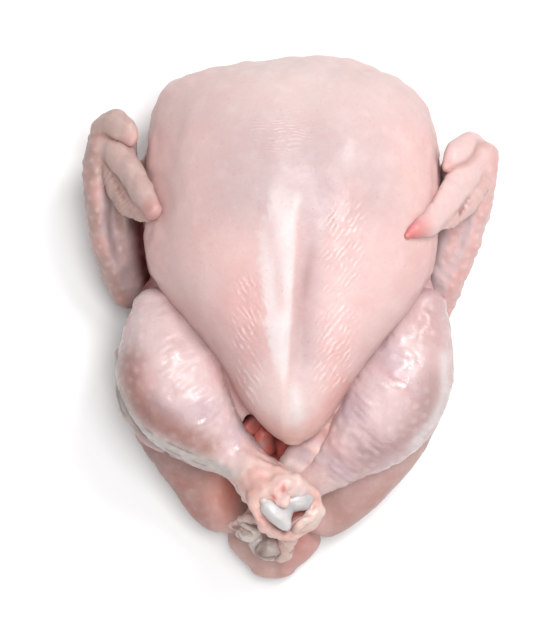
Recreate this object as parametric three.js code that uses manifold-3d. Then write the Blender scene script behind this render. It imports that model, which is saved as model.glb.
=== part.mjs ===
// A whole raw chicken, plucked and drawn, lying on its back with its legs crossed over the tail and
// its wing tips folded in over the breast. Millimetres, +Z up: the neck end points to +Y and the tail
// to -Y, and the origin is on the table under the middle of the bird.
//
// Every part of the bird is a loft: a run of oval sections along a smooth spine, with a dome at each
// end. The lofts of flesh and skin are fused into one solid, the body cavity is cut out of it, and
// each leg holds its shin bone, whose knuckle shows where the foot was cut off.

import * as THREE from "three";
import { mergeVertices } from "three/addons/utils/BufferGeometryUtils.js";
import Module from "manifold-3d";

const LENGTH = 262; // neck skin to tail
const WIDTH = 208; // over the folded wings
const DEPTH_BELOW = 40; // how far the lofts may sink under the table before they are cut level
const BONE_GAP = 0.35; // clearance of a shin bone in its leg
const DOME_RINGS = 3; // rings that round off each end of a loft

const UP = new THREE.Vector3(0, 0, 1);
const { smoothstep } = THREE.MathUtils;

const wasm = await Module();
wasm.setup();

// ---------------------------------------------------------------------------------------------
// Lofts

// One station of a loft: where its section's middle is, and how far the section reaches across the
// limb to each side, up, and down.
function at(x, y, z, across, up, down = up) {
  return { x, y, z, across, up, down };
}

// A smooth run through one value of the stations: value(t) for t from 0 at the first to 1 at the last.
function run(stations, key) {
  const points = stations.map((station, i) => new THREE.Vector3(i, station[key], 0));
  const curve = new THREE.CatmullRomCurve3(points, false, "catmullrom", 0.5);
  return (t) => curve.getPoint(t).y;
}

// A point of an oval with a given squareness (2 is an ellipse), as fractions of its half sizes.
function oval(angle, squareness) {
  const power = 2 / squareness;
  const side = Math.cos(angle);
  const rise = Math.sin(angle);
  return [Math.sign(side) * Math.abs(side) ** power, Math.sign(rise) * Math.abs(rise) ** power];
}

// The closed geometry of a loft. Sections stand square to the spine with their up side towards
// `lean`, or, in an upright loft, stand in planes of constant y. `dome` is how far each end bulges,
// as a fraction of its smallest half size. `crowd` moves the points of each section towards its top,
// where the finer shapes are.
function loft(stations, shape) {
  const { rings, sides, dome = [1, 1], squareness = 2, crowd = 0, upright = false, lean = UP } = shape;
  const value = {};
  for (const key of ["x", "y", "z", "across", "up", "down"]) value[key] = run(stations, key);
  const middle = (t) => new THREE.Vector3(value.x(t), value.y(t), value.z(t));
  const frame = (t) => {
    const step = 0.002;
    const along = middle(Math.min(1, t + step)).sub(middle(Math.max(0, t - step))).normalize();
    if (upright) along.set(0, -1, 0);
    const up = lean.clone().addScaledVector(along, -lean.dot(along)).normalize();
    return { along, up, side: up.clone().cross(along) };
  };
  const positions = [];
  const ring = (t, shift, scale) => {
    const { along, up, side } = frame(t);
    const centre = middle(t).addScaledVector(along, shift);
    for (let i = 0; i < sides; i++) {
      const turn = (2 * Math.PI * i) / sides;
      const [u, v] = oval(turn + crowd * Math.cos(turn), squareness);
      const height = v > 0 ? value.up(t) : value.down(t);
      const point = centre.clone();
      point.addScaledVector(side, u * scale * value.across(t));
      point.addScaledVector(up, v * scale * height);
      positions.push(...point);
    }
  };
  const bulge = (t) => dome[t] * Math.min(value.across(t), value.up(t), value.down(t));
  const quarter = (i) => (0.5 * Math.PI * i) / (DOME_RINGS + 1);
  const tip = (t, shift) => positions.push(...middle(t).addScaledVector(frame(t).along, shift));

  tip(0, -bulge(0));
  for (let i = DOME_RINGS; i > 0; i--) ring(0, -bulge(0) * Math.sin(quarter(i)), Math.cos(quarter(i)));
  for (let i = 0; i <= rings; i++) ring(i / rings, 0, 1);
  for (let i = 1; i <= DOME_RINGS; i++) ring(1, bulge(1) * Math.sin(quarter(i)), Math.cos(quarter(i)));
  tip(1, bulge(1));

  const count = rings + 1 + 2 * DOME_RINGS;
  const last = count * sides + 1;
  const faces = [];
  for (let i = 0; i < sides; i++) {
    const next = (i + 1) % sides;
    faces.push(0, 1 + next, 1 + i);
    faces.push(last, last - sides + i, last - sides + next);
    for (let j = 0; j < count - 1; j++) {
      const low = 1 + j * sides;
      faces.push(low + i, low + next, low + sides + next);
      faces.push(low + i, low + sides + next, low + sides + i);
    }
  }
  const geometry = new THREE.BufferGeometry();
  geometry.setAttribute("position", new THREE.Float32BufferAttribute(positions, 3));
  geometry.setIndex(faces);
  return geometry;
}

// Moves each point of a geometry: move(point) changes the point that it is given.
function reshape(geometry, move) {
  const position = geometry.getAttribute("position");
  const point = new THREE.Vector3();
  for (let i = 0; i < position.count; i++) {
    move(point.fromBufferAttribute(position, i));
    position.setXYZ(i, ...point);
  }
  return geometry;
}

// ---------------------------------------------------------------------------------------------
// Solids

function solid(geometry) {
  const bare = new THREE.BufferGeometry();
  bare.setAttribute("position", geometry.getAttribute("position"));
  bare.setIndex(geometry.getIndex());
  const merged = mergeVertices(bare, 1e-4);
  return new wasm.Manifold(
    new wasm.Mesh({
      numProp: 3,
      vertProperties: new Float32Array(merged.attributes.position.array),
      triVerts: new Uint32Array(merged.index.array),
    }),
  );
}

function fuse(solids) {
  return solids.reduce((joined, next) => joined.add(next));
}

// The one whole body of a shape: hollows that fusing sealed are filled, and loose scraps dropped.
function whole(shape) {
  const bodies = shape.decompose();
  return bodies.reduce((largest, body) => (body.volume() > largest.volume() ? body : largest));
}

function meshOf(shape, name, material, middle) {
  const { vertProperties, triVerts } = shape.getMesh();
  const geometry = new THREE.BufferGeometry();
  geometry.setAttribute("position", new THREE.BufferAttribute(vertProperties, 3));
  geometry.setIndex(new THREE.BufferAttribute(triVerts, 1));
  geometry.translate(-middle.x, -middle.y, 0);
  geometry.computeVertexNormals();
  const mesh = new THREE.Mesh(geometry, material);
  mesh.name = name;
  return mesh;
}

// ---------------------------------------------------------------------------------------------
// Trunk

// 1 between two values of y, fading to 0 over `fade` beyond each.
function between(y, low, high, fade) {
  return smoothstep(y, low - fade, low) * (1 - smoothstep(y, high, high + fade));
}

// The keel of the breastbone runs down the lower breast, and leans a little to the right above.
function keelLine(y) {
  return 4.5 * smoothstep(y, -45, 60);
}

// It shows as a ridge with a furrow along each side, and above it the two halves of the breast meet
// in a shallow valley.
function keelRelief(x, y) {
  const swell = (centre, width) => Math.exp(-(((x - keelLine(y) - centre) / width) ** 2));
  const ridge = 3 * swell(0, 5) * between(y, -56, 50, 16);
  const rightFurrow = 3.6 * swell(10, 6) * between(y, -12, 55, 26);
  const leftFurrow = 1.6 * swell(-10, 6) * between(y, -20, 36, 20);
  const valley = 2.6 * swell(0, 12) * between(y, 66, 106, 14);
  return ridge - rightFurrow - leftFurrow - valley;
}

function breast() {
  const stations = [
    at(8, 130.2, 46, 5, 3, 4),
    at(7, 128.4, 46.5, 19, 12, 13),
    at(5, 125.8, 47, 30, 20, 20),
    at(1.5, 122, 48, 43.5, 29, 27),
    at(-1.5, 117, 49, 54.5, 38, 33),
    at(-0.5, 107, 50, 64, 48, 39),
    at(0.5, 90, 50, 71, 57, 43),
    at(0.5, 68, 50, 73.5, 62, 45),
    at(0, 44, 51, 73.5, 62, 46),
    at(-0.5, 24, 52, 71, 59, 44),
    at(0.5, 8, 56, 62, 52, 42),
    at(1, -8, 61, 48.5, 44, 34),
    at(0.5, -26, 65, 34.5, 33, 25),
    at(0, -41, 66, 25, 25, 18),
    at(0.5, -52, 67, 17, 17, 12),
    at(0.5, -59, 66.5, 10, 10, 8),
    at(0.5, -62, 66, 4.5, 5, 4),
  ];
  const shape = { rings: 28, sides: 36, dome: [0.2, 0.4], squareness: 2.15, crowd: 0.55, upright: true };
  return solid(
    reshape(loft(stations, shape), (point) => {
      const onTop = smoothstep(point.z, 64, 84);
      point.x += onTop * keelLine(point.y);
      point.z += onTop * keelRelief(point.x, point.y);
    }),
  );
}

// The back and belly, flat underneath where the bird lies on it.
function back() {
  const stations = [
    at(0, 98, 20, 40, 18, 26),
    at(0, 82, 20, 54, 24, 28),
    at(0, 60, 20, 60, 29, 28),
    at(0, 30, 20, 62, 34, 28),
    at(0, 0, 20, 60, 40, 28),
    at(-2, -30, 20, 58, 40, 28),
    at(-4, -58, 20, 52, 30, 28),
    at(-6, -80, 18, 42, 15, 24),
    at(-8, -96, 15, 30, 12, 20),
  ];
  return solid(loft(stations, { rings: 12, sides: 20, squareness: 2.5, upright: true }));
}

// The neck skin, folded down over the neck opening and tucked under the front of the bird.
function neckSkin() {
  const stations = [
    at(-40, 98, 27, 10, 15, 17),
    at(-20, 106, 29, 14, 21, 22),
    at(6, 109, 30, 16, 24, 24),
    at(30, 106, 29, 14, 21, 22),
    at(46, 98, 27, 10, 15, 17),
  ];
  return solid(loft(stations, { rings: 8, sides: 14, squareness: 2.2 }));
}

// The parson's nose: a blunt wedge with a crease down the middle of its upper side.
function tail() {
  const CREASE = { x: -8.5, depth: 3, width: 4 };
  const stations = [
    at(-8, -88, 15, 26, 13),
    at(-8.5, -105, 14, 24.5, 12.5),
    at(-9, -114, 13.5, 21.5, 12),
    at(-10, -121, 13, 15.5, 10.5),
    at(-10.5, -125.5, 12.5, 8.5, 8),
  ];
  const shape = { rings: 9, sides: 18, dome: [0.6, 0.6], squareness: 2.3, upright: true };
  return solid(
    reshape(loft(stations, shape), (point) => {
      const crease = Math.exp(-(((point.x - CREASE.x) / CREASE.width) ** 2));
      const shown = smoothstep(point.z, 14, 20) * (1 - smoothstep(point.y, -114, -102));
      point.z -= CREASE.depth * crease * shown;
    }),
  );
}

// The flank of one side, which joins the breast to the thigh and walls in the cavity.
function flank(side) {
  const stations = [
    at(side * 50, 20, 42, 14, 15),
    at(side * 43, -12, 47, 15, 16),
    at(side * 34, -38, 47, 12, 15),
    at(side * 26, -62, 42, 9, 12),
    at(side * 22, -78, 36, 7, 9),
  ];
  return solid(loft(stations, { rings: 6, sides: 10 }));
}

// The skin left beside the vent, between the point of the breast and the right leg.
function ventSkin() {
  const stations = [
    at(20, -44, 60, 9, 5),
    at(14, -60, 59, 9.5, 5),
    at(8, -71, 55, 9, 4.5),
    at(4, -79, 49, 7, 4),
  ];
  const lean = new THREE.Vector3(-0.35, -0.4, 1).normalize();
  return solid(loft(stations, { rings: 6, sides: 12, lean }));
}

// The cavity, from under the neck to the vent, which is cut open between the tail and the point of
// the breast.
function cavity() {
  const hollow = [
    at(-7, -112, 76, 12, 10),
    at(-7, -94, 60, 19, 17),
    at(-6, -76, 48, 22, 20),
    at(-4, -50, 41, 28, 20),
    at(-1, -15, 42, 35, 24),
    at(0, 20, 43, 37, 26),
    at(0, 48, 44, 30, 24),
  ];
  const vent = [
    at(-8, -58, 39, 20, 12),
    at(-9, -76, 38, 23, 10),
    at(-10, -94, 38, 24, 9),
    at(-10, -112, 39, 24, 10),
  ];
  return fuse([
    solid(loft(hollow, { rings: 10, sides: 16 })),
    solid(loft(vent, { rings: 5, sides: 12, dome: [1, 0.2], squareness: 2.5 })),
  ]);
}

// ---------------------------------------------------------------------------------------------
// Legs. A drumstick ends in the ankle, which turns up or back to the cut, at its last station, where
// the foot came off. `spread` is the direction from the larger condyle of the shin to the smaller.

const LEFT_LEG = {
  thigh: [
    at(-28, -97, 18, 9, 9, 14),
    at(-44, -82, 22, 16.5, 17, 18),
    at(-53, -58, 27, 24, 24, 21),
    at(-62, -32, 31, 25.5, 26, 22),
    at(-66, -8, 37, 21, 22, 20),
    at(-66, 5, 43, 13, 14, 16),
  ],
  drumstick: [
    at(-65.5, 3, 51, 13, 13),
    at(-64, -9, 55, 20.5, 19),
    at(-60, -26, 57, 27, 24),
    at(-51, -45, 58, 25.5, 23),
    at(-37.5, -60.5, 58, 21, 19),
    at(-25, -72.5, 59, 13.8, 13.5),
    at(-15.5, -80.5, 60, 11, 11.5),
  ],
  ankle: [
    at(-14, -81.5, 60.5, 11, 11.5),
    at(-9, -86.5, 63.5, 13, 12.5),
    at(-4.5, -91.5, 68, 15.5, 14),
    at(-1.5, -95.5, 74, 16.5, 14.5),
  ],
  spread: new THREE.Vector3(0.85, 0.5, 0.2),
};

const RIGHT_LEG = {
  thigh: [
    at(15, -95, 19, 9, 10, 14),
    at(32, -80, 23, 16, 18, 18),
    at(44, -58, 27, 22, 24, 21),
    at(53, -32, 31, 24, 26, 22),
    at(58, -8, 37, 20, 22, 20),
    at(61, 5, 43, 13, 14, 16),
  ],
  drumstick: [
    at(63, 2, 51, 13, 13),
    at(60, -13, 54, 20, 18),
    at(53, -34, 55, 26.5, 23),
    at(40, -54, 52, 24.5, 22),
    at(23.5, -69, 47.5, 16.5, 17),
    at(10, -80, 43.5, 12, 12),
    at(1, -88, 40.5, 10.8, 11),
  ],
  ankle: [
    at(3, -86, 42, 10.8, 11),
    at(-2.5, -94, 43, 12, 11.5),
    at(-8.5, -103, 45.5, 14, 12),
    at(-12.5, -109.5, 50, 14.5, 12),
  ],
  spread: new THREE.Vector3(0.8, -0.5, 0.1),
};

function leg({ thigh, drumstick, ankle }) {
  return fuse([
    solid(loft(thigh, { rings: 8, sides: 14, squareness: 2.2 })),
    solid(loft(drumstick, { rings: 12, sides: 18, dome: [0.7, 0.7], squareness: 2.15 })),
    solid(loft(ankle, { rings: 5, sides: 16, dome: [0.7, 0.15], squareness: 2.3 })),
  ]);
}

// The shin bone: a thin shaft down the drumstick and, at the cut, a knuckle of two rounded condyles
// side by side. `grow` adds to every half size, for the hollow that holds the bone.
function bone({ drumstick, ankle, spread }, grow) {
  const SHAFT = 4.5;
  const CONDYLES = [
    { shift: -4.5, across: 7, along: 8, deep: 10.5 },
    { shift: 6.5, across: 5.5, along: 6.5, deep: 7 },
  ];
  const [before, cut] = ankle.slice(-2).map(({ x, y, z }) => new THREE.Vector3(x, y, z));
  const along = cut.clone().sub(before).normalize();
  const across = spread.clone().addScaledVector(along, -spread.dot(along)).normalize();
  const turn = new THREE.Matrix4().makeBasis(across, along, across.clone().cross(along));
  const knuckle = CONDYLES.map((condyle) => {
    const half = [condyle.across + grow, condyle.along + grow, condyle.deep + grow];
    const geometry = new THREE.SphereGeometry(1, 12, 8).scale(...half).applyMatrix4(turn);
    const centre = cut.clone().addScaledVector(across, condyle.shift);
    return solid(geometry.translate(...centre));
  });
  const spine = [...drumstick.slice(1, -1), ...ankle.slice(1)];
  const shaft = spine.map(({ x, y, z }) => at(x, y, z, SHAFT + grow, SHAFT + grow));
  return fuse([solid(loft(shaft, { rings: 9, sides: 6 })), ...knuckle]);
}

// ---------------------------------------------------------------------------------------------
// Wings. Each is folded at the elbow and the wrist, with a web of skin between the forearm and the
// breast, the hand lying over the web, the thumb on the hand, and the row of quill sockets along the
// lower edge of the hand.

const LEFT_WING = {
  drumette: [
    at(-80, 12, 20, 9.5, 10),
    at(-80, 27, 22, 12, 11),
    at(-74, 48, 27, 14, 13),
    at(-64, 70, 34, 15, 15),
    at(-50, 84, 40, 13, 14),
  ],
  forearm: [
    at(-81, 14, 17, 9, 11),
    at(-87, 25, 22, 10.5, 12),
    at(-93, 45, 31, 10.5, 12),
    at(-96, 68, 42, 9.5, 11),
    at(-94.5, 85, 51, 9.5, 9.5),
    at(-91.5, 93, 55, 8.5, 8),
  ],
  web: [
    at(-81, 16, 18, 8, 10),
    at(-83, 33, 27, 9, 13),
    at(-83, 53, 36, 12, 17),
    at(-82, 72, 45, 13, 17),
    at(-80, 84, 49, 12, 12),
  ],
  hand: [
    at(-91, 92, 57, 8, 7),
    at(-86.5, 80, 64, 10, 7),
    at(-80, 66, 71, 9.5, 6.5),
    at(-74, 56, 76, 7.5, 5.5),
    at(-70, 50, 79, 4.5, 4),
  ],
  quills: [
    at(-94, 80, 58, 5, 4.5),
    at(-90, 69, 62, 5.5, 4.5),
    at(-84, 59, 67, 5, 4),
    at(-77, 51, 73, 3.5, 3.5),
  ],
  thumb: [
    at(-93, 97, 60, 7, 6),
    at(-86, 95.5, 66, 7.5, 5.5),
    at(-80, 90, 68, 6, 4.5),
    at(-77, 86, 68, 2.5, 2.5),
  ],
};

const RIGHT_WING = {
  drumette: [
    at(75, 10, 20, 9.5, 10),
    at(77, 26, 22, 12, 11),
    at(73, 48, 27, 14, 13),
    at(63, 70, 34, 15, 15),
    at(49, 84, 40, 13, 14),
  ],
  forearm: [
    at(76, 9, 17, 8.5, 11),
    at(83, 21, 22, 10.5, 12),
    at(90, 42, 31, 10.5, 12),
    at(94.5, 64, 42, 10, 11),
    at(95.5, 80, 51, 9.5, 9.5),
    at(93, 87, 55, 8.5, 8),
  ],
  web: [
    at(78, 12, 18, 8, 10),
    at(81, 29, 27, 9, 13),
    at(82, 49, 36, 12, 17),
    at(82, 66, 46, 13, 18),
    at(81, 77, 50, 12, 13),
  ],
  hand: [
    at(93, 86, 58, 8, 7),
    at(89, 74, 65, 10, 7),
    at(81, 60, 75, 9.5, 6.5),
    at(73, 50, 83, 7.5, 5.5),
    at(63, 41.5, 90, 4, 4),
  ],
  quills: [
    at(96, 74, 60, 5, 4.5),
    at(91, 61, 67, 5.5, 4.5),
    at(83, 51, 75, 5, 4),
    at(73, 44, 83, 3.5, 3.5),
  ],
  thumb: [
    at(92, 89, 60, 8, 6),
    at(85, 82, 67, 8.5, 5.5),
    at(80, 76.5, 71, 6, 4.5),
    at(76.5, 73.5, 73, 2.5, 2.5),
  ],
};

function wing({ drumette, forearm, web, hand, quills, thumb }, outward) {
  const lean = new THREE.Vector3(outward, 0, 1).normalize();
  return fuse([
    solid(loft(drumette, { rings: 7, sides: 12 })),
    solid(loft(forearm, { rings: 8, sides: 12 })),
    solid(loft(web, { rings: 6, sides: 10 })),
    solid(loft(hand, { rings: 7, sides: 12, lean })),
    solid(loft(quills, { rings: 5, sides: 8, lean })),
    solid(loft(thumb, { rings: 5, sides: 8, lean })),
  ]);
}

// ---------------------------------------------------------------------------------------------
// Bird

const skin = new THREE.MeshStandardMaterial({ color: 0xebcdc8, roughness: 0.42, metalness: 0 });
const cartilage = new THREE.MeshStandardMaterial({ color: 0xdcd7d8, roughness: 0.3, metalness: 0 });

function belowTable() {
  const block = new THREE.BoxGeometry(2 * WIDTH, 2 * LENGTH, DEPTH_BELOW);
  return solid(block.translate(0, 0, -DEPTH_BELOW / 2));
}

function middleOf(shape) {
  const { min, max } = shape.boundingBox();
  return { x: (min[0] + max[0]) / 2, y: (min[1] + max[1]) / 2 };
}

const trunk = fuse([breast(), back(), neckSkin(), tail(), flank(-1), flank(1)]).subtract(cavity());
const limbs = [leg(LEFT_LEG), leg(RIGHT_LEG), wing(LEFT_WING, -1), wing(RIGHT_WING, 1), ventSkin()];
const flesh = fuse([trunk, ...limbs])
  .subtract(belowTable())
  .subtract(bone(LEFT_LEG, BONE_GAP))
  .subtract(bone(RIGHT_LEG, BONE_GAP));
const middle = middleOf(flesh);

const chicken = new THREE.Group();
chicken.add(meshOf(whole(flesh), "chicken", skin, middle));
chicken.add(meshOf(bone(LEFT_LEG, 0), "left_leg_bone", cartilage, middle));
chicken.add(meshOf(bone(RIGHT_LEG, 0), "right_leg_bone", cartilage, middle));

export default chicken;
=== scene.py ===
import math

import bmesh
import bpy
import mathutils
import numpy as np
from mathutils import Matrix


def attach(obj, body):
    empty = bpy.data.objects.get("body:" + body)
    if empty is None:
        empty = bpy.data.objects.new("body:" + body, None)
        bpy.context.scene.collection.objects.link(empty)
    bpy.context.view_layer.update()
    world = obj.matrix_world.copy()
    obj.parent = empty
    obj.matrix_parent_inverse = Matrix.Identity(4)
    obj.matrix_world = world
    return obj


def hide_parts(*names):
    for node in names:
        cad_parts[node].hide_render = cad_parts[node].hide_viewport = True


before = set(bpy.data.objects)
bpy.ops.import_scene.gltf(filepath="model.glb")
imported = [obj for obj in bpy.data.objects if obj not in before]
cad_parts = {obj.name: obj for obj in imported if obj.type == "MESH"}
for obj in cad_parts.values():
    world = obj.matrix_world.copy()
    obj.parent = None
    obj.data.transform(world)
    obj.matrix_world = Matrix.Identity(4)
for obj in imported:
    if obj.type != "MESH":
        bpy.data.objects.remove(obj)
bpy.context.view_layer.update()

import openvdb


# --------------------------------------------
# The body: two full breast muscles over a keel bone, a flat back, the flanks and thighs, and the
# fleshy tail, all under one skin. The drawn cavity opens between the point of the breast and the
# tail. Each part is a run of ovals, and the skin is drawn round them where they melt together.

AXIS = np.array((0.13, -0.6, 0.0))  # where the parts' own origin stands in the bird's frame
BAND = 14.0  # mm from a surface within which its field still tells the distance
BODY_STEP = 1.1  # mm between the points of a grid, here and on the legs and wings
LIMB_STEP = 0.7
MOST_TRIANGLES = 190000  # in the mesh of the body


def fade(value, low, high):
    """Rises smoothly from 0 at `low` to 1 at `high`."""
    t = np.clip((value - low) / (high - low), 0, 1)
    return t * t * (3 - 2 * t)


def swell(value, width):
    """1 at zero, falling to 0 on both sides of it."""
    return np.exp(-((value / width) ** 2))


def unit(vectors):
    return vectors / np.linalg.norm(vectors, axis=-1, keepdims=True)


def spline(stations, t):
    """The smooth run through the stations, at each t from 0 to 1."""
    stations = np.asarray(stations, float)
    before = 2 * stations[0] - stations[1]
    after = 2 * stations[-1] - stations[-2]
    padded = np.vstack([before, stations, after])
    place = np.clip(t, 0, 1) * (len(stations) - 1)
    i = np.minimum(place.astype(int), len(stations) - 2)
    w = (place - i)[:, None]
    a, b, c, d = padded[i], padded[i + 1], padded[i + 2], padded[i + 3]
    return b + 0.5 * w * (c - a + w * (2 * a - 5 * b + 4 * c - d + w * (3 * (b - c) + d - a)))


def loft(stations, dome=(1, 1), squareness=2.0, upright=False, lean=(0, 0, 1), rings=70, sides=64):
    """Points and quads of a closed run of ovals. A station is x, y, z, across, up and down, where
    down may be left out."""
    stations = np.array([station if len(station) == 6 else station + station[-1:] for station in stations])
    quarter = np.linspace(math.pi / 2, 0, 9)[:-1]  # the turn of each ring of a dome
    t = np.concatenate([0 * quarter, np.linspace(0, 1, rings), 0 * quarter + 1])
    swing = np.concatenate([-quarter, np.zeros(rings), quarter[::-1]])
    values = spline(stations, t)
    centre, (across, up_size, down_size) = values[:, :3], values[:, 3:].T
    nudge = 0.004
    along = unit(spline(stations, t + nudge)[:, :3] - spline(stations, t - nudge)[:, :3])
    if upright:
        along[:] = (0, -1, 0)
    lean = np.array(lean, float)
    up = unit(lean - (along @ lean)[:, None] * along)
    side = np.cross(up, along)
    bulge = np.minimum(np.minimum(across, up_size), down_size) * np.where(t < 0.5, dome[0], dome[1])
    centre = centre + along * (bulge * np.sin(swing))[:, None]
    angle = np.linspace(0, 2 * math.pi, sides, endpoint=False)
    u = np.sign(np.cos(angle)) * np.abs(np.cos(angle)) ** (2 / squareness)
    v = np.sign(np.sin(angle)) * np.abs(np.sin(angle)) ** (2 / squareness)
    shrink = np.cos(swing)[:, None]
    reach = shrink * across[:, None] * u
    rise = shrink * np.where(v > 0, up_size[:, None], down_size[:, None]) * v
    points = centre[:, None] + reach[..., None] * side[:, None] + rise[..., None] * up[:, None]
    ring, turn = np.mgrid[0:len(t) - 1, 0:sides]
    ahead = (turn + 1) % sides
    quads = np.stack([ring * sides + turn, ring * sides + ahead,
                      (ring + 1) * sides + ahead, (ring + 1) * sides + turn], -1)
    return points.reshape(-1, 3), quads.reshape(-1, 4)


class Grid:
    """A block of evenly spaced points, on which a shape is kept as a field: the distance to its
    surface in millimetres, less than zero inside."""

    def __init__(self, low, high, step):
        self.step = step
        self.low = np.floor(np.array(low) / step).astype(int)
        self.count = np.ceil(np.array(high) / step).astype(int) - self.low + 1
        lines = [(start + np.arange(count)) * step for start, count in zip(self.low, self.count)]
        self.x, self.y, self.z = np.ix_(*lines)

    def field(self, surface):
        points, quads = surface
        points = (points / self.step).astype(np.float32)
        grid = openvdb.FloatGrid.createLevelSetFromPolygons(
            points, quads=quads.astype(np.uint32), halfWidth=BAND / self.step)
        values = np.empty(self.count, np.float32)
        grid.copyToArray(values, ijk=tuple(self.low.tolist()))
        return values * np.float32(self.step)

    def part(self, stations, **shape):
        """The field of a run of ovals."""
        return self.field(loft(stations, **shape))

    def bring(self, values, grid):
        """A field of another grid, at the points of this one."""
        for axis in range(3):
            place = (self.low[axis] + np.arange(self.count[axis])) * self.step / grid.step - grid.low[axis]
            before = np.clip(np.floor(place).astype(int), 0, grid.count[axis] - 2)
            share = np.clip(place - before, 0, 1).astype(np.float32)
            share = share.reshape([-1 if i == axis else 1 for i in range(3)])
            values = np.take(values, before, axis) * (1 - share) + np.take(values, before + 1, axis) * share
        return values

    def at(self, values, points):
        """A field of this grid, at each of the points."""
        place = points / self.step - self.low
        corner = np.clip(np.floor(place).astype(int), 0, self.count - 2)
        share = np.clip(place - corner, 0, 1)
        total = 0
        for turn in np.ndindex(2, 2, 2):
            i, j, k = (corner + turn).T
            total = total + np.prod(np.where(turn, share, 1 - share), axis=1) * values[i, j, k]
        return total

    def on(self, values, points, close, far):
        """1 on a part and close to it, fading to 0 far from it."""
        return 1 - fade(self.at(values, points), close, far)

    def surface(self, values):
        """Points and quads of the surface of a field."""
        grid = openvdb.FloatGrid(BAND)
        grid.copyFromArray(values.astype(np.float32), ijk=tuple(self.low.tolist()))
        points, _, quads = grid.convertToPolygons(isovalue=0, adaptivity=0)
        return points * self.step, quads


def melt(a, b, radius):
    """Two parts under one skin, which fills the crease between them."""
    h = np.clip(0.5 + 0.5 * (b - a) / radius, 0, 1)
    return b + h * (a - b) - radius * h * (1 - h)


def carve(a, hollow, radius):
    return -melt(-a, hollow, radius)


def nestle(own, others, depth=1.2, width=1.6):
    """A part that lies against others: pressed in along the line where they touch, and left out
    where it would be deep inside them."""
    deepest = 5
    return np.maximum(own + depth * swell(own - others, width), -others - deepest)


def keel_line(y):
    return 4.5 * fade(y, -45, 60)


def crest_line(y):
    """Where the crest of the keel drops to its right, for each place along the breast."""
    return 0.058 * y - 0.4


def between(value, low, high, soft):
    """1 from `low` to `high`, fading to 0 over a soft edge outside them."""
    return fade(value, low - soft, low) * (1 - fade(value, high, high + soft))


# mm, how tall or deep each form along the keel is
CREST, FURROW, HOLLOW, LEFT_FURROW, VALLEY = 2.2, 1.7, 2.2, 0.5, 2.4


def keel_relief(x, y):
    """The ridge of the keel, the furrow on each side of it, and the valley above it."""
    off = x - crest_line(y) + 0.3
    crest = CREST * fade(-off, -3.8, 1.6) * swell(np.minimum(off + 5, 0), 13) * between(y, -52, 26, 40)
    furrow = FURROW * swell(off - 5, 4.2) * between(y, -12, 12, 26)
    hollow = HOLLOW * swell(off - 11, 10) * between(y, -18, 42, 30)
    left_furrow = LEFT_FURROW * swell(off + 8, 3.5) * between(y, 4, 26, 14)
    valley = VALLEY * swell(off - 3, 12) * between(y, 62, 106, 14)
    return crest - (furrow + hollow) - left_furrow - valley


BREAST = [
    (8, 130.2, 46, 5, 3, 4), (7, 128.4, 46.5, 19, 12, 13), (5, 125.8, 47, 30, 20, 20),
    (1, 122, 48, 46.5, 29, 27), (-1.5, 117, 49, 57.5, 38, 33), (-0.5, 107, 50, 66, 48, 39),
    (0.5, 90, 50, 71.5, 57, 43), (0.5, 68, 50, 73.5, 62, 45), (0, 44, 51, 73.5, 62, 46),
    (-0.5, 24, 52, 71, 59, 44), (0.5, 8, 56, 62, 52, 42), (1, -8, 61, 48.5, 44, 34),
    (0.5, -26, 65, 34.5, 33, 25), (0, -41, 66, 25, 25, 18), (0.5, -52, 67, 17, 17, 12),
    (0.5, -59, 66.5, 10, 10, 8), (0.5, -62, 66, 4.5, 5, 4),
]
BACK = [
    (0, 98, 20, 40, 18, 26), (0, 82, 20, 54, 24, 28), (0, 60, 20, 60, 29, 28), (0, 30, 20, 62, 34, 28),
    (0, 0, 20, 60, 40, 28), (-2, -30, 20, 58, 40, 28), (-4, -58, 20, 52, 30, 28),
    (-6, -80, 18, 42, 15, 24), (-8, -96, 15, 30, 12, 20),
]
NECK_SKIN = [
    (-40, 98, 27, 10, 15, 17), (-20, 106, 29, 14, 21, 22), (6, 109, 30, 16, 24, 24),
    (30, 106, 29, 14, 21, 22), (46, 98, 27, 10, 15, 17),
]
TAIL = [
    (-8, -88, 15, 26, 13), (-8.2, -105, 14, 25.5, 12.5), (-8.1, -115, 13.5, 24.3, 12),
    (-8.4, -123, 13, 18.5, 11), (-9.2, -129, 12.5, 11.5, 8.5),
]
TAIL_CREASE = {"x": -8.5, "depth": 2.6, "width": 3}
TAIL_PRESS = {"depth": 2, "width": 2.5}
FLANK = [
    (50, 20, 42, 14, 15), (43, -12, 47, 15, 16), (34, -38, 47, 12, 15), (26, -62, 42, 9, 12),
    (22, -78, 36, 7, 9),
]
VENT_SKIN = [
    (23, -44, 59, 9, 3.5), (15, -59, 57, 10.5, 3.5), (7, -69, 53.5, 10.5, 3.2),
    (-1, -76.5, 50, 7.5, 3),
]
LEFT_THIGH = [
    (-29, -103, 18, 9.5, 9, 13), (-36, -96.5, 19, 14, 13, 15), (-44.5, -82, 22, 16.5, 17, 18),
    (-53, -58, 27, 24, 24, 21), (-62, -32, 31, 25.5, 26, 22), (-65, -8, 37, 19, 22, 20),
    (-65, 5, 43, 12, 14, 16),
]
RIGHT_THIGH = [
    (11, -104.5, 18, 9.5, 9, 13), (19.5, -100, 19.5, 12, 11, 14), (34, -83, 23, 16.5, 18, 18),
    (47, -60, 27, 21.5, 24, 21), (55, -33.5, 31.5, 24.8, 26, 22), (58, -8, 37, 20, 22, 20),
    (61, 5, 43, 13, 14, 16),
]
CAVITY = [
    (-7, -112, 76, 12, 10), (-7, -94, 60, 19, 17), (-6, -76, 48, 22, 20), (-4, -50, 41, 28, 20),
    (-1, -15, 42, 35, 24), (0, 20, 43, 37, 26), (0, 48, 44, 30, 24),
]
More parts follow.
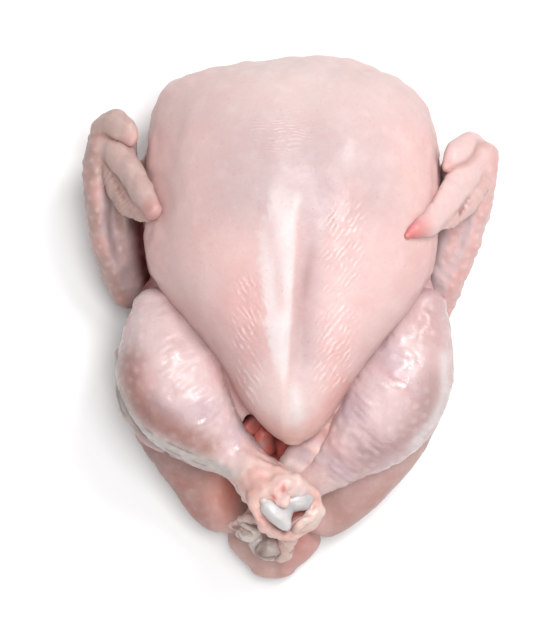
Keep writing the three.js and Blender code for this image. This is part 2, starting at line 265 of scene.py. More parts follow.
VENT = [(-8, -58, 39, 20, 12), (-9, -76, 38, 23, 10), (-10, -94, 38, 24, 9), (-10, -112, 39, 24, 10)]

whole = Grid((-110, -138, -12), (110, 140, 124), BODY_STEP)

points, quads = loft(BREAST, dome=(0.2, 0.4), squareness=2.15, upright=True, rings=180, sides=200)
on_top = fade(points[:, 2], 64, 84)
points[:, 0] += on_top * keel_line(points[:, 1])
points[:, 2] += on_top * keel_relief(points[:, 0], points[:, 1])
trunk = melt(whole.field((points, quads)), whole.part(NECK_SKIN, squareness=2.2), 9)
trunk = melt(trunk, whole.part(BACK, squareness=2.5, upright=True), 14)
for side in (-1, 1):
    trunk = melt(trunk, whole.part([(side * x, *rest) for x, *rest in FLANK]), 8)
points, quads = loft(TAIL, dome=(0.6, 0.6), squareness=2.3, upright=True)
shown = fade(points[:, 2], 14, 20) * (1 - fade(points[:, 1], -114, -102))
points[:, 2] -= TAIL_CREASE["depth"] * swell(points[:, 0] - TAIL_CREASE["x"], TAIL_CREASE["width"]) * shown
tail = whole.field((points, quads))
thighs = [whole.part(thigh, squareness=2.2) for thigh in (LEFT_THIGH, RIGHT_THIGH)]
for thigh in thighs:
    trunk = melt(trunk, thigh, 8)
trunk = np.minimum(trunk, tail) + TAIL_PRESS["depth"] * swell(trunk - tail, TAIL_PRESS["width"])
cavity = np.minimum(whole.part(CAVITY), whole.part(VENT, dome=(1, 0.2), squareness=2.5))
trunk_full, trunk = trunk, carve(trunk, cavity, 3)
vent_skin = whole.part(VENT_SKIN, lean=(-0.35, -0.4, 1))
trunk = melt(trunk, vent_skin, 2)


def pebble(x, y, z, across, along, tall, turn=0.0):
    """A rounded lump, turned by an angle in the plan."""
    reach = max(along - across, 0.5)
    aim = np.array((math.sin(turn), math.cos(turn), 0)) * reach
    middle = np.array((x, y, z))
    return loft([tuple(middle - aim) + (across, tall), tuple(middle + aim) + (across, tall)])


# What is left of the kidneys and fat, on the floor of the cavity and in its mouth.
LUMPS = [(-14, -62, 33, 7.5, 11, 10, 0.3), (-1, -65, 31, 7, 10, 10, -0.2), (-20, -53, 46, 4.5, 7, 6, 0.6),
         (-9, -52, 42, 5, 6, 6)]
lumps = np.minimum.reduce([whole.field(pebble(*lump)) for lump in LUMPS])
body = np.maximum(np.minimum(trunk, lumps), -whole.z)


def waver(points, size, seed, count=30):
    """A smooth random relief, from about -1 to 1, with bumps of the given size in millimetres."""
    draw = np.random.default_rng(seed)
    headings = unit(draw.normal(size=(count, 3)))
    turns = draw.uniform(0.6, 1.5, count) * math.pi / size
    starts = draw.uniform(0, 2 * math.pi, count)
    total = np.zeros(len(points))
    for heading, turn, start in zip(headings, turns, starts):
        total += np.sin(points @ heading * turn + start)
    return total / math.sqrt(count)


def patches(points, size, seed, low, high):
    """Soft random patches, from 0 where the relief is low to 1 where it is high."""
    return fade(waver(points, size, seed), low, high)


def near(points, place, close, far):
    """1 close to a place, fading to 0 far from it."""
    return 1 - fade(np.linalg.norm(points - np.array(place), axis=1), close, far)


def spot(points, x, y, across, along=None):
    """1 at a place of the plan, fading to 0 round it."""
    return swell(points[:, 0] - x, across) * swell(points[:, 1] - y, along or across)


def groove(points, path, width):
    """1 along a path, fading to 0 on both sides of it."""
    path = np.array(path, float)
    nearest = np.full(len(points), 1e9)
    for start, end in zip(path, path[1:]):
        run = end - start
        share = np.clip((points - start) @ run / (run @ run), 0, 1)
        nearest = np.minimum(nearest, np.linalg.norm(points - start - share[:, None] * run, axis=1))
    return swell(nearest, width)


def new_piece(name, surface):
    points, quads = surface
    mesh = bpy.data.meshes.new(name)
    mesh.from_pydata(((points + AXIS) / 1000).tolist(), [], quads.tolist())
    mesh.shade_smooth()
    piece = bpy.data.objects.new(name, mesh)
    bpy.context.collection.objects.link(piece)
    return piece


def places(piece):
    """The points of a piece in millimetres, and its normals."""
    count = len(piece.data.vertices)
    points = np.empty(count * 3, np.float32)
    piece.data.vertices.foreach_get("co", points)
    normals = np.empty(count * 3, np.float32)
    piece.data.vertex_normals.foreach_get("vector", normals)
    return points.reshape(-1, 3) * 1000.0 - AXIS, normals.reshape(-1, 3).astype(float)


def raise_skin(piece, points, normals, relief):
    moved = (points + normals * relief[:, None] + AXIS) / 1000
    moved[:, 2] = np.maximum(moved[:, 2], 0)
    piece.data.vertices.foreach_set("co", moved.ravel().astype(np.float32))
    piece.data.update()


def mark(piece, name, values):
    """A number, or a colour, at every point of a piece, for its material."""
    if values.ndim == 1:
        piece.data.attributes.new(name, "FLOAT", "POINT").data.foreach_set("value", values.astype(np.float32))
        return
    colours = np.ones((len(values), 4), np.float32)
    colours[:, :3] = values
    piece.data.attributes.new(name, "FLOAT_COLOR", "POINT").data.foreach_set("color", colours.ravel())


STUDIO = 0.62  # how much less light a surface gives back than it seems to in the bright studio


def tint(red, green, blue):
    """A surface that looks like this colour in the studio."""
    share = np.array((red, green, blue)) / 255
    return STUDIO * np.where(share < 0.04, share / 12.92, ((share + 0.055) / 1.055) ** 2.4)


def paint(piece, colour, coats):
    """The colour at every point of a piece: one all over, and on it coats of others, each with its
    strength from 0 to 1 at each point."""
    colours = np.tile(colour, (len(piece.data.vertices), 1))
    for coat, strength in coats:
        colours = colours + np.clip(strength, 0, 1)[:, None] * (coat - colours)
    mark(piece, "tint", colours)


def node_tools(tree):
    """Adds a node with the given settings and inputs, and a sum or product of numbers or sockets."""
    def add(kind, inputs=(), **settings):
        node = tree.nodes.new(kind)
        for name, value in settings.items():
            setattr(node, name, value)
        for name, value in dict(inputs).items():
            if isinstance(value, bpy.types.NodeSocket):
                tree.links.new(value, node.inputs[name])
            else:
                node.inputs[name].default_value = value
        return node

    def calculate(operation, *values):
        return add("ShaderNodeMath", dict(enumerate(values)), operation=operation).outputs[0]

    return add, calculate


def follicle_tree():
    """Goose pimples: a swelling of the skin round each of the points that are scattered over it,
    where the attribute "follicles" asks for them."""
    tree = bpy.data.node_groups.new("goose pimples", "GeometryNodeTree")
    for name, kind in (("Geometry", "Geometry"), ("Spacing", "Float"), ("Width", "Float"),
                       ("Height", "Float"), ("Seed", "Int"), ("Material", "Material")):
        tree.interface.new_socket(name, in_out="INPUT", socket_type="NodeSocket" + kind)
    tree.interface.new_socket("Geometry", in_out="OUTPUT", socket_type="NodeSocketGeometry")
    add, calculate = node_tools(tree)

    given = add("NodeGroupInput").outputs
    wanted = add("GeometryNodeInputNamedAttribute", {"Name": "follicles"}, data_type="FLOAT")
    strength = wanted.outputs["Attribute"]
    scatter = add("GeometryNodeDistributePointsOnFaces", {
        "Mesh": given["Geometry"], "Distance Min": given["Spacing"], "Seed": given["Seed"],
        "Density Max": calculate("DIVIDE", 4, calculate("MULTIPLY", given["Spacing"], given["Spacing"])),
        "Density Factor": calculate("MINIMUM", 1, calculate("MULTIPLY", strength, 4)),
    }, distribute_method="POISSON")
    nearest = add("GeometryNodeProximity", {0: scatter.outputs["Points"]}, target_element="POINTS")
    share = calculate("DIVIDE", nearest.outputs["Distance"], given["Width"])
    swelling = calculate("EXPONENT", calculate("MULTIPLY", calculate("MULTIPLY", share, share), -1))
    swelling = calculate("MULTIPLY", swelling, strength)
    kept = add("GeometryNodeStoreNamedAttribute", {
        "Geometry": given["Geometry"], "Name": "pimple", "Value": swelling,
    }, data_type="FLOAT", domain="POINT")
    offset = add("ShaderNodeVectorMath", {
        0: add("GeometryNodeInputNormal").outputs["Normal"],
        "Scale": calculate("MULTIPLY", swelling, given["Height"]),
    }, operation="SCALE")
    lift = add("GeometryNodeSetPosition", {
        "Geometry": kept.outputs["Geometry"], "Offset": offset.outputs["Vector"],
    })
    real = add("GeometryNodeRealizeInstances", {"Geometry": lift.outputs["Geometry"]})
    cover = add("GeometryNodeSetMaterial", {
        "Geometry": real.outputs["Geometry"], "Material": given["Material"],
    })
    add("NodeGroupOutput", {"Geometry": cover.outputs["Geometry"]})
    return tree


pimples = follicle_tree()


def goose_pimples(piece, strength, spacing, width, height, seed):
    """Raises the follicles of a piece, sizes in millimetres, and covers it with skin."""
    mark(piece, "follicles", strength)
    settings = {"Spacing": spacing / 1000, "Width": width / 1000, "Height": height / 1000,
                "Seed": seed, "Material": skin}
    modifier = piece.modifiers.new("goose pimples", "NODES")
    modifier.node_group = pimples
    for socket in pimples.interface.items_tree:
        if socket.name in settings:
            modifier[socket.identifier] = settings[socket.name]
    finish_mesh(piece)


def refine(piece, where):
    """Halves the faces of a piece where a number at their points is more than zero."""
    mesh = bmesh.new()
    mesh.from_mesh(piece.data)
    edges = [edge for edge in mesh.edges if min(where[point.index] for point in edge.verts) > 0]
    bmesh.ops.subdivide_edges(mesh, edges=edges, cuts=1, use_grid_fill=True)
    mesh.to_mesh(piece.data)
    mesh.free()


def finish_mesh(piece):
    """Makes a piece a plain mesh of what its modifiers give."""
    graph = bpy.context.evaluated_depsgraph_get()
    mesh = bpy.data.meshes.new_from_object(piece.evaluated_get(graph), preserve_all_data_layers=True,
                                           depsgraph=graph)
    piece.modifiers.clear()
    piece.data = mesh


def new_material(name):
    """A material with no nodes yet, the tools to add them, and the place of each point."""
    material = bpy.data.materials.new(name)
    material.use_nodes = True
    material.node_tree.nodes.clear()
    add, calculate = node_tools(material.node_tree)
    return material, add, calculate, add("ShaderNodeTexCoord").outputs["Object"]


def skin_material():
    """Wet plucked skin: soft and see-through under a thin film of water, mottled, with fine pores
    and creases. Its colour, its rows of follicles and its wetness are marked on each piece."""
    material, add, calculate, place = new_material("skin")

    def marked(name, output="Fac"):
        return add("ShaderNodeAttribute", attribute_name=name).outputs[output]

    def noise(scale, detail=2.0, roughness=0.5):
        settings = {"Vector": place, "Scale": scale, "Detail": detail, "Roughness": roughness}
        return add("ShaderNodeTexNoise", settings).outputs["Fac"]

    def ramp(value, low, high, start=0.0, end=1.0):
        settings = {"Value": value, "From Min": low, "From Max": high, "To Min": start, "To Max": end}
        return add("ShaderNodeMapRange", settings).outputs["Result"]

    pores = add("ShaderNodeTexVoronoi", {"Vector": place, "Scale": 210.0}).outputs["Distance"]
    rows = calculate("ADD", marked("rows"), calculate("MULTIPLY", noise(150), 1.5))
    rows = calculate("SINE", calculate("MULTIPLY", rows, 2 * math.pi))
    broken = calculate("MULTIPLY", ramp(noise(230), 0.42, 0.6), ramp(noise(60), 0.38, 0.55))
    rows = calculate("MULTIPLY", rows, calculate("MULTIPLY", ramp(marked("tract"), 0.15, 0.75), broken))

    colour = marked("tint", "Color")
    factor, under, over, blended = 0, 6, 7, 2  # the sockets of a Mix node that are for colours
    layers = [  # how each is laid on and where, from none of it to its full strength, and its colour
        ("MULTIPLY", noise(85, 4, 0.6), 0.42, 0.72, 0.3, (0.95, 0.80, 0.80, 1)),
        ("SCREEN", noise(140, 3), 0.5, 0.75, 0.1, (0.55, 0.5, 0.5, 1)),
        ("MULTIPLY", noise(520, 3), 0.5, 0.75, 0.3, (0.93, 0.80, 0.80, 1)),
        ("SCREEN", marked("pimple"), 0.2, 1.0, 0.1, (0.75, 0.7, 0.68, 1)),
        ("MULTIPLY", pores, 0.11, 0.05, 0.25, (0.55, 0.33, 0.33, 1)),
        # lighter on the crests of the rows: a painted highlight
        ("SCREEN", rows, 0.0, 0.8, 0.3, (0.75, 0.68, 0.66, 1)),
        ("MULTIPLY", rows, -0.1, -0.8, 0.35, (0.97, 0.76, 0.75, 1)),
    ]
    for mode, value, none, full, strength, layer in layers:
        settings = {factor: ramp(value, none, full, 0, strength), under: colour, over: layer}
        colour = add("ShaderNodeMix", settings, data_type="RGBA", blend_type=mode).outputs[blended]

    height = calculate("MULTIPLY", rows, 0.1)
    height = calculate("MULTIPLY_ADD", noise(330, 4, 0.65), 0.30, height)
    height = calculate("MULTIPLY_ADD", noise(1100, 2), 0.05, height)
    bump = add("ShaderNodeBump", {"Height": height, "Distance": 0.001, "Strength": 0.55})

    roughness = ramp(noise(110, 3), 0.35, 0.62, 0.52, 0.66)
    roughness = calculate("MULTIPLY_ADD", marked("wet"), -0.38, roughness)
    shader = add("ShaderNodeBsdfPrincipled", {
        "Base Color": colour, "Roughness": roughness, "IOR": 1.4, "Normal": bump.outputs["Normal"],
        "Subsurface Weight": 0.18, "Subsurface Radius": (1.0, 0.5, 0.4), "Subsurface Scale": 0.003,
        "Coat Weight": 0.25, "Coat Roughness": 0.16, "Coat IOR": 1.4,
        "Coat Normal": bump.outputs["Normal"],
    })
    add("ShaderNodeOutputMaterial", {"Surface": shader.outputs["BSDF"]})
    return material


skin = skin_material()

SKIN = tint(246, 210, 206)
PINK = tint(240, 180, 176)
PALE = tint(246, 228, 224)
LILAC = tint(214, 190, 198)
PEACH = tint(250, 208, 194)
TAN = tint(206, 162, 150)
# Meat colours, made 1.35 times lighter than they look: painted light, as little light reaches into the
# cavity.
BLOOD = 1.35 * tint(246, 106, 96)
RAW = 1.35 * tint(250, 142, 130)

bird = new_piece("bird", whole.surface(body))


def inner(points):
    """1 on the wall of the cavity and on what lies in it."""
    wall = fade(-whole.at(trunk_full, points), 1, 3.5) * fade(whole.at(vent_skin, points), 0.5, 2)
    wall *= fade(points[:, 2], 2, 6)
    return np.maximum(wall, whole.on(lumps, points, 0.5, 1.5))


def tracts(points, normals):
    """The rows of follicles that run down each side of the breast: their phase, and where they are."""
    x, y, z = points.T
    off = x - keel_line(y)
    on_breast = fade(normals[:, 2], 0.1, 0.5) * fade(z, 55, 75)
    left = swell(off + 22.5, 7.5) * between(y, -42, 12, 12)
    right = swell(off - 20.5, 9) * between(y, -36, 48, 16)
    between_rows = 2.5
    phase = (0.83 * np.abs(off) - 0.56 * y) / between_rows
    tract = on_breast * np.where(off < 0, left, right)
    neck = on_breast * (0.5 * spot(points, 4, 93, 24, 7) + 0.35 * spot(points, -6, 80, 18, 12))
    neck_phase = y / 1.6 + 0.5 * waver(points, 9, 8)
    return np.where(y > 66, neck_phase, phase), tract + neck


points, normals = places(bird)
phase, tract = tracts(points, normals)
refine(bird, tract - 0.1)
points, normals = places(bird)
x, y, z = points.T
inside = inner(points)
outside = 1 - inside
phase, tract = tracts(points, normals)
patchy = patches(points, 4, 1, -0.2, 1.0) * patches(points, 14, 4, -1, 0.6)
relief = 0.1 * tract * patchy * np.sin(2 * math.pi * (phase + 0.5 * waver(points, 6, 9)))
relief += outside * (0.35 * waver(points, 24, 2) + 0.12 * waver(points, 7, 3))
relief += inside * 1.1 * waver(points, 9, 5)
relief += fade(y, 106, 122) * (1.1 * waver(points, 18, 11) + 0.4 * waver(points, 6, 12))
relief += outside * 0.4 * fade(np.abs(x), 60, 70) * waver(points, 6, 13)
relief += 0.7 * whole.on(vent_skin, points, 0.3, 1.5) * waver(points, 4.5, 6)
raise_skin(bird, points, normals, relief)
keep = bird.vertex_groups.new(name="thinned")
for share in (0.1, 1.0):
    chosen = np.flatnonzero((tract > 0.1) == (share < 1))
    keep.add(chosen.tolist(), share, "REPLACE")
thin = bird.modifiers.new("thin", "DECIMATE")
thin.ratio = MOST_TRIANGLES / (2 * len(bird.data.polygons))
thin.vertex_group = keep.name
finish_mesh(bird)
bird.vertex_groups.clear()

points, normals = places(bird)
x, y, z = points.T
plan = points[:, :2]
inside = inner(points)
outside = 1 - inside
phase, tract = tracts(points, normals)
low = 1 - fade(z, 30, 62)
on_tail = whole.on(tail, points, 0, 6)
on_vent = whole.on(vent_skin, points, 0.3, 1.5)
on_thigh = whole.on(np.minimum(*thighs), points, 0, 4)
flush = 0.3 * spot(points, -24, -6, 10, 26) + 0.3 * spot(points, 22, -20, 10, 20)
edge = x - crest_line(y)
reach = np.interp(y, (-42, -30, -12, 8, 36, 60), (1, 5, 10.4, 14, 17.5, 14)) + 1.3 * waver(points, 2.6, 10)
streak = fade(edge + reach, -1.2, 1.8) * fade(-edge, -1.2, 0.8) * between(y, -28, 54, 10) * fade(z, 70, 80)
furrow_path = [(13.7, 49), (10.3, 36), (8.7, 26), (6.6, 17), (4.6, 5), (4.2, -16)]
furrow = groove(plan, furrow_path, 2.6) * between(y, -4, 26, 20)
left_crease = groove(plan, [(-11, 44), (-7.5, 26), (-4.5, 4)], 2.6)
tip_highlight = groove(plan, [(1, -37), (4, -48)], 3.6) * fade(z, 66, 76)
tip_path = [(-26, -34), (-15, -50), (-5, -59), (6, -59), (16, -49), (26, -34)]
tip_edge = groove(plan, tip_path, 5) * fade(z, 56, 62)
left_thigh = fade(-x, 20, 30) * fade(-y, 30, 60) * low * (1 - on_tail)
shadow_under_drumstick = groove(plan, [(-68, -67), (-56, -73), (-45, -76), (-37, -79)], 6.5) * fade(-x, 38, 50)
right_thigh = fade(x, 14, 24) * fade(-y, 50, 66) * low
shade_by_left_wing = fade(-x, 60, 68) * between(y, -4, 42, 12) * (1 - fade(z, 58, 67))
paint(bird, SKIN, [
    (PINK, 0.2 * patches(points, 20, 6, 0, 1.4)),
    # the breast: flushed along its rows, greyer on top where it faces straight up, which is painted shade,
    # paler at the neck, and a painted highlight on its point
    (tint(248, 194, 190), 0.45 * tract + flush),
    (tint(208, 188, 189), 0.75 * fade(normals[:, 2], 0.75, 1) * fade(z, 80, 94) * fade(y, 30, 58)),
    (PINK, 0.3 * spot(points, 28, 57, 9) + 0.35 * fade(np.abs(x), 52, 70) * (z > 40)),
    (tint(226, 204, 202), 0.4 * fade(y, 84, 100) * fade(z, 60, 80)),
    (PALE, 0.5 * spot(points, 5, 118, 45, 20) + 0.7 * spot(points, -0.5, -50, 4.5, 9)),
    # the keel: painted shade on its right slope and in the furrow there, and on its left a pale streak, the
    # white of the bone through the skin with a painted highlight on it and painted shade in its crease
    (tint(218, 190, 192), 0.75 * swell(edge - 8, 8) * between(y, -24, 50, 26) * fade(edge, -1, 3)),
    (tint(182, 140, 134), 0.55 * furrow * (0.5 + 0.5 * spot(points, 6, 15, 6, 12))),
    (tint(252, 240, 239), (0.95 - 0.4 * fade(y, 18, 42)) * streak * (1 - 0.5 * left_crease)),
    (tint(222, 200, 206), 0.2 * streak * left_crease),
    # the point of the breast: lightened where it slopes away from the lamps, as painted light, with a painted
    # highlight along it and a red edge; the full lobes above it, the lower left one lightened as painted
    # light
    (tint(252, 226, 222), 0.35 * fade(-y, 14, 38) * fade(z, 66, 76)),
    (tint(255, 242, 240), 0.9 * tip_highlight),
    (tint(240, 164, 154), 0.55 * tip_edge),
    (PEACH, 0.6 * fade(-y, 50, 62) * fade(z, 50, 60)),
    (tint(255, 226, 222), 0.6 * spot(points, -14, -38, 12, 14) * fade(z, 60, 74)),
    (tint(255, 226, 224), 0.55 * spot(points, 24, 4, 8, 20) * fade(z, 70, 80)),
    (tint(252, 202, 198), 0.5 * spot(points, -24, 6, 12, 22) * fade(z, 70, 80)),
    # the thighs and the tail: browner low down, partly their tone and partly painted shade; the thighs darker
    # still as painted shade
    (TAN, 0.45 * low + 0.2 * on_tail),
    (tint(168, 118, 108), 0.7 * left_thigh * fade(-x, 32, 46)),
    (tint(196, 116, 102), 0.4 * left_thigh * patches(points, 9, 12, 0, 0.8)),
    (tint(214, 182, 174), 0.4 * left_thigh * patches(points, 8, 13, 0.1, 1)),
    # a painted shadow under the left drumstick
    (tint(120, 78, 70), 0.75 * left_thigh * shadow_under_drumstick),
    (tint(255, 168, 148), 0.85 * left_thigh * spot(points, -29, -88, 12, 14)),
    (tint(176, 132, 124), 0.45 * right_thigh),
    (tint(206, 140, 128), 0.35 * right_thigh * patches(points, 9, 14, 0, 0.8)),
    (tint(196, 128, 118), 0.55 * on_tail * spot(points, 3, -116, 5, 6) + 0.3 * on_tail * fade(x, -8, -4)),
    # painted shade in the gap under the left wing
    (tint(140, 46, 44), 0.85 * shade_by_left_wing),
    # the web of skin beside the vent, darker where it runs under the point of the breast, with a painted
    # bluish sheen
    (tint(255, 222, 217), 0.95 * on_vent),
    (tint(252, 234, 230), 0.8 * on_vent * spot(points, -1, -75, 6, 4)),
    (tint(208, 156, 148), 0.8 * on_vent * fade(y, -67, -58)),
    (tint(206, 196, 216), 0.5 * on_vent * groove(plan, [(9, -63), (6, -70)], 3)),
    # the wall of the cavity, darker at its upper left under the breast and along the crease between the
    # lumps, as painted shade
    (RAW, inside),
    (BLOOD, inside * patches(points, 11, 7, -0.4, 1)),
    (tint(150, 68, 60), 0.8 * inside * fade(y, -58, -50) * fade(-x, 10, 18)),
    (tint(170, 90, 76), 0.7 * inside * groove(plan, [(-8, -54), (-8, -70)], 2.5)),
])
mark(bird, "rows", phase)
mark(bird, "tract", tract)
mark(bird, "wet", 0.6 * tip_highlight + 0.35 * tract)
follicles = 0.7 * outside * on_thigh * fade(z, 2, 8) + 0.4 * spot(points, 26, 48, 14, 16) * (z > 70)
follicles += 0.6 * outside * fade(np.abs(x), 63, 71) * fade(y, 0, 20) * between(z, 25, 66, 8)
goose_pimples(bird, follicles, spacing=5, width=1.4, height=0.3, seed=3)
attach(bird, "root")
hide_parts("chicken")


# --------------------------------------------
# The right leg: a drumstick folded back along its thigh. Its shank runs down over the vent to the
# ankle, where the foot was cut off, and a cuff of skin stands round the cut.

RIGHT_DRUMSTICK = [
    (63, 5, 53, 14.5, 14.5), (60, -12, 54.5, 20.5, 18.5), (53, -34, 55, 26.5, 23), (40, -54, 52, 24.5, 22),
    (23.5, -69, 47.5, 16.5, 17), (10, -80, 43.5, 12, 12), (1, -88, 40.5, 10.8, 11),
]
RIGHT_ANKLE = [
    (3, -86, 42, 10.8, 11, 11), (-2.5, -94, 43, 12, 11.5, 12), (-8.5, -103, 45.5, 14, 12, 14.5),
    (-12.5, -109.5, 50, 14.5, 12, 16.5),
]
# Round the cut, places are told in its own axes: across it, up it and out of it.
RIGHT_CUFF = [
    (-15, -3, 0.5), (-14.5, 4, 0), (-9.5, 9.5, 0), (0, 11, -0.5), (8, 9, -0.5), (13, 3, 0), (13.5, -5, 0.5),
    (11, -12, 1), (5, -16, 1), (-2, -15.5, 0.5), (-9, -12.5, 0.5), (-13.5, -8.5, 0.5), (-15, -3, 0.5),
    (-14.5, 4, 0),
]
RIGHT_FLAP = [
    (-15, -10, -1, 3, 1.5), (-14, -5, 2.5, 3.4, 1.4), (-10.5, -1, 4, 2.6, 1.2), (-7.5, 1, 4, 1.4, 0.9),
]


class Cut:
    """The plane in which a foot was cut off: its middle, and its axes."""

    def __init__(self, ankle):
        before, self.middle = (np.array(station[:3], float) for station in ankle[-2:])
        self.out = unit(self.middle - before)
        up = unit(np.array((0, 0, 1)) - self.out[2] * self.out)
        self.axes = np.stack([np.cross(up, self.out), up, self.out])

    def part(self, grid, stations, **shape):
        """The field of a run of ovals whose places are told in the axes of the cut."""
        placed = [(*(self.middle + np.array(station[:3]) @ self.axes), *station[3:]) for station in stations]
        return grid.part(placed, lean=self.out, **shape)

    def local(self, points):
        return (points - self.middle) @ self.axes.T


def leg_field(grid, drumstick, ankle, cut, cuff, flaps, bowl):
    leg = grid.part(drumstick, dome=(0.7, 0.7), squareness=2.15)
    leg = melt(leg, grid.part(ankle, dome=(0.7, 0.15), squareness=2.3), 5)
    leg = carve(leg, cut.part(grid, bowl), 1.5)
    rim = [(*station, 1.9, 1.7) for station in cuff]
    leg = melt(leg, cut.part(grid, rim, rings=160), 2)
    for flap in flaps:
        leg = melt(leg, cut.part(grid, flap), 0.8)
    return leg


def crumple(points, height, seed):
    """Crumpled tissue: rounded folds with sharp creases between them."""
    return height * np.minimum(np.abs(waver(points, 8, seed)), 0.9) - 0.4 * height


def wrinkled_leg(name, surface, cut, along, seed, torn, torn_from, torn_seed):
    """A leg with the relief of its skin: swellings, wrinkles that run round it, finer ones near its
    cut, and crumpled tissue at its end."""
    leg = new_piece(name, surface)
    points, normals = places(leg)
    along = unit(np.array(along))
    drawn_out = 0.3 * points + 0.7 * np.outer(points @ along, along)
    relief = 0.45 * waver(points, 16, seed) + 0.2 * waver(points, 5.5, seed + 1)
    relief += near(points, cut.middle, 22, 44) * 0.35 * waver(points, 3.4, seed + 2)
    relief += 0.14 * waver(drawn_out, 1.7, seed + 3) * patches(points, 15, seed + 4, -0.3, 0.5)
    at_end = fade(cut.local(points)[:, 2], torn_from, torn_from + 6)
    raise_skin(leg, points, normals, relief + at_end * crumple(points, torn, torn_seed))
    return leg


def finish_leg(leg, cut, own_coats, wettest, seed, pimple_seed):
    """Skin for a leg: the coats of colour that both have, then its own, wet patches and pimples."""
    points, normals = places(leg)
    x, y, z = points.T
    near_cut = near(points, cut.middle, 18, 52)
    paint(leg, tint(239, 210, 210), [
        (LILAC, 0.7 * patches(points, 17, seed, -0.2, 1.2)),
        (PINK, 0.35 * patches(points, 12, seed + 1, 0, 1.3)),
        # darker low down and on the far right, as painted shade
        (TAN, 0.4 * (1 - fade(z, 36, 56))),
        (tint(214, 180, 178), 0.5 * fade(x, 56, 70)),
        (PEACH, 0.7 * near_cut),
        (tint(250, 232, 226), 0.5 * near_cut * patches(points, 7, seed + 3, 0, 1)),
        (tint(238, 172, 160), 0.5 * near_cut * patches(points, 10, seed + 4, 0, 1)),
        *own_coats,
    ])
    mark(leg, "wet", 0.3 + 0.55 * patches(points, 6, seed - 4, -0.1, 0.5) + 0.3 * spot(points, *wettest))
    follicles = (1 - 0.8 * near_cut) * (0.6 + 0.5 * waver(points, 14, seed + 6))
    goose_pimples(leg, follicles, spacing=5.2, width=1.9, height=0.22, seed=pimple_seed)
    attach(leg, "root")


RIGHT_BOWL = [(-4.5, -3.5, 4, 11.5, 6.5), (4, -4, 4, 12, 6.5)]

right_cut = Cut(RIGHT_ANKLE)
right_grid = Grid((-36, -130, 18), (92, 24, 84), LIMB_STEP)
right_own = leg_field(right_grid, RIGHT_DRUMSTICK, RIGHT_ANKLE, right_cut, RIGHT_CUFF, [RIGHT_FLAP],
                      RIGHT_BOWL)
right_own = nestle(right_own, right_grid.bring(body, whole))
right_leg = wrinkled_leg("right_leg", right_grid.surface(right_own), right_cut, along=(-50, -68, -11),
                         seed=21, torn=1.4, torn_from=-6, torn_seed=33)
points, normals = places(right_leg)
plan, z = points[:, :2], points[:, 2]
a, b, h = right_cut.local(points).T
on_cut = fade(h, -3.5, 0.5)
shaded = groove(plan, [(70, -34), (64, -50), (52, -62), (38, -68)], 9)
fat_edge = groove(plan, [(75, -20), (76, -38), (70.5, -52), (60, -64)], 3) * fade(z, 36, 42)
finish_leg(right_leg, right_cut, [
    (tint(240, 206, 194), 0.8 * on_cut),
    (tint(186, 152, 150), 0.75 * shaded),
    (tint(206, 166, 162), 0.7 * spot(points, 65, -4, 9, 12)),
    (tint(202, 174, 182), 0.55 * spot(points, 44, -14, 10, 12) * fade(z, 50, 60)),
    (tint(240, 232, 230), 0.7 * fat_edge),
    (tint(190, 174, 166), 0.7 * on_cut * patches(points, 4, 34, -0.2, 0.6) * fade(-a, -6, 4)),
    # painted shade in the creases of the crumpled tissue
    (tint(120, 84, 78), 0.75 * on_cut * swell(waver(points, 8, 33), 0.1)),
], wettest=(50, -32, 12, 14), seed=31, pimple_seed=5)


# --------------------------------------------
# The left leg: it lies on the right one, its cut turned up, with the cuff of skin folded back round
# the knuckle. A fold of fat runs along its lower edge.

LEFT_DRUMSTICK = [
    (-65.5, 5, 52.5, 14, 14), (-64, -8, 55, 20.5, 19), (-60, -26, 57, 27, 24), (-51, -45, 58, 25.5, 23),
    (-38, -61, 58, 17.3, 17.5), (-24.7, -72, 59, 11.2, 12.6), (-15.5, -80.5, 60, 11, 11.5),
]
LEFT_ANKLE = [
    (-14, -81.5, 60.5, 11, 11.5), (-9, -86.5, 63.5, 13, 12.5), (-4.5, -91.5, 68, 15, 13.5),
    (-1.5, -95.5, 74, 15.8, 13.5),
]
FAT_FOLD = [
    (-86, -18, 47, 2, 3), (-84.5, -42, 45, 2.6, 3.5), (-73, -60, 44, 3, 3.5), (-55, -69.5, 45, 3, 3),
    (-37, -74.5, 48, 2, 2),
]
LEFT_CUFF = [
    (-11.5, 13, -3), (-13.3, 8, 0), (-13.6, 0, 1), (-12, -6.8, 1), (-9, -12, 1), (-4, -15.6, 1.2),
    (3, -16.8, 1.2), (9, -15.6, 1), (13.4, -10.5, 1), (15, -3.5, 0), (14, 4, -2.5),
]
NOTCH_FLAP = [
    (1, 15.5, 0.5, 3.4, 1.4), (1.2, 13.5, 4, 4, 1.1), (1.6, 11.4, 6.2, 4, 0.9),
    (2, 9.2, 6.4, 2.6, 0.7),
]
INNER_LIP = [
    (-2.5, -9.8, 3.4, 1.4, 1.4), (0, -7.2, 5.4, 2, 1.5), (3.5, -6.4, 6, 2.2, 1.5),
    (7.5, -7.6, 5.4, 1.8, 1.4), (11, -8, 3.6, 1.4, 1.3),
]
SIDE_FOLD = [
    (-5, -12.6, 0.6, 2.4, 1.8), (-0.5, -10.4, 2, 4.6, 2), (5, -10.2, 3, 5.4, 2.2),
    (10, -9.6, 2.6, 5, 2.2), (13.6, -5.6, 0.6, 3, 2),
]
TOP_PAD = [(-8, 13, -6, 5, 4.5), (-2, 14, -4.5, 5, 4.6), (5, 12, -3, 6.5, 4.8), (11, 8, -3.2, 5.5, 4)]
INSTEP = [(-29, -67, 60.5, 8.8, 10), (-20, -76.6, 64.5, 9.4, 11), (-12, -83.5, 69, 12, 10.5)]
RAMP = [(-22.2, -72.8, 66, 7.4, 8), (-15.2, -78, 71, 8.2, 8), (-8.5, -83, 75.5, 9.6, 7)]

LEFT_BOWL = [(-4, -1, 5.5, 11, 7.5), (4, -1, 5.5, 11, 7.5)]

